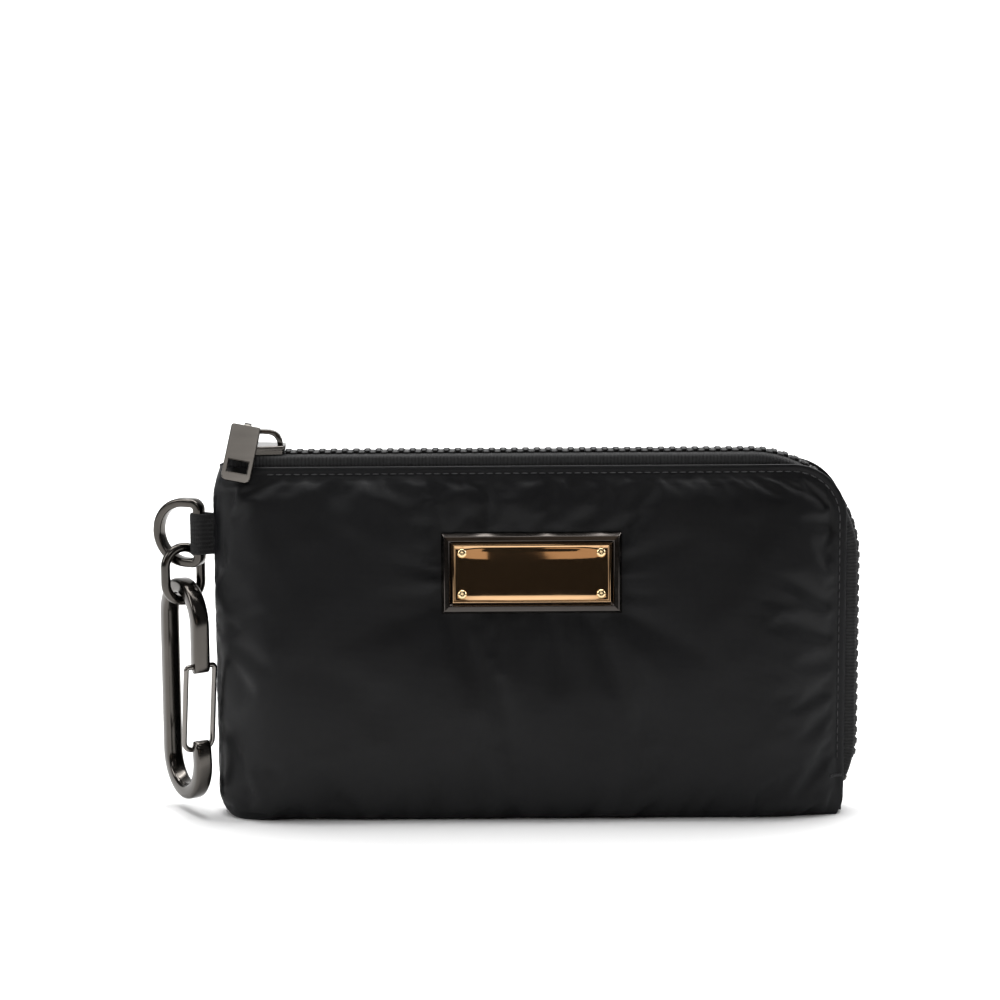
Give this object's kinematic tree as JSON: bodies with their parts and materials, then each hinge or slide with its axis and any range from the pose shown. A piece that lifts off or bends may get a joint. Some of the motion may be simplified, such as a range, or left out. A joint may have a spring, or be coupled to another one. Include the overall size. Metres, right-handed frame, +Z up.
{
  "type": "zippered pouch",
  "caption": "Slim black nylon pouch with a zip along the top and one side, a metal plaque, a pull, and a side D-ring carrying a link and a wire-gate carabiner.",
  "frame": {"origin": "middle of the whole assembly's box in X and Y, on the floor plane in Z", "axes": "+X towards the zipped side, to the viewer's right; -Y out of the front that carries the plaque; +Z up"},
  "size_m": [0.2205, 0.0305, 0.1247],
  "materials": {
    "nylon": "near-black satin nylon with a fine weave and soft blue sheen",
    "padding": "thin dark padding, matt",
    "lining": "smooth dark lining cloth",
    "zip_tape": "woven herringbone tape, matt",
    "zip_teeth": "moulded, satin",
    "thread": "grey twisted thread",
    "webbing": "ribbed black webbing",
    "gunmetal": "polished warm-grey gunmetal plating",
    "dark_gunmetal": "polished dark gunmetal plating",
    "bright_wire": "polished wire",
    "gold_plate": "mirror-polished pale gold",
    "steel": "plain sheet"
  },
  "bodies": {
    "pouch": {"front_panel": "nylon", "back_panel": "nylon", "front_interlining": "padding", "back_interlining": "padding", "front_lining": "lining", "back_lining": "lining", "front_zip_tape": "zip_tape", "back_zip_tape": "zip_tape", "front_teeth": "zip_teeth", "back_teeth": "zip_teeth", "top_stops": "gunmetal", "bottom_stop": "gunmetal", "zip_end_tab": "nylon", "front_topstitch": "thread", "back_topstitch": "thread", "bar_tacks": "thread", "side_loop": "webbing", "plaque_frame": "dark_gunmetal", "plaque_plate": "gold_plate", "plaque_pins": "gold_plate", "plaque_backing_plate": "steel"},
    "slider": {"slider_body": "gunmetal", "slider_bridge": "gunmetal"},
    "pull": {"pull_tab": "gunmetal"},
    "ring": {"d_ring": "gunmetal"},
    "link": {"chain_link": "gunmetal"},
    "carabiner": {"carabiner_body": "gunmetal"},
    "gate": {"carabiner_gate": "bright_wire"}
  },
  "joints": [
    {"name": "zip_slide", "type": "slide", "parent": "pouch", "child": "slider", "axis": [1, 0, 0], "range_m": [0, 0.14], "deforming": ["front_teeth", "back_teeth"]},
    {"name": "pull_hinge", "type": "hinge", "parent": "slider", "child": "pull", "pos_m": [-0.0795, 0, 0.1219], "axis": [-1, 0, 0], "range_deg": [0, 215]},
    {"name": "ring_hinge", "type": "hinge", "parent": "pouch", "child": "ring", "pos_m": [-0.095, 0, 0.08985], "axis": [0, 0, 1], "range_deg": [-45, 6]},
    {"name": "link_hinge", "type": "hinge", "parent": "ring", "child": "link", "pos_m": [-0.10062, 0.00262, 0.08493], "axis": [0.866, 0.5, 0], "range_deg": [-15, 10]},
    {"name": "carabiner_hinge", "type": "hinge", "parent": "link", "child": "carabiner", "pos_m": [-0.10062, 0.00262, 0.06792], "axis": [0.866, 0.5, 0], "range_deg": [-15, 25]},
    {"name": "gate_hinge", "type": "hinge", "parent": "carabiner", "child": "gate", "pos_m": [-0.09494, -0.00721, 0.0491], "axis": [0.866, 0.5, 0], "range_deg": [0, 36], "stiffness_Nm_per_rad": 0.02, "springref_deg": -5.73}
  ]
}
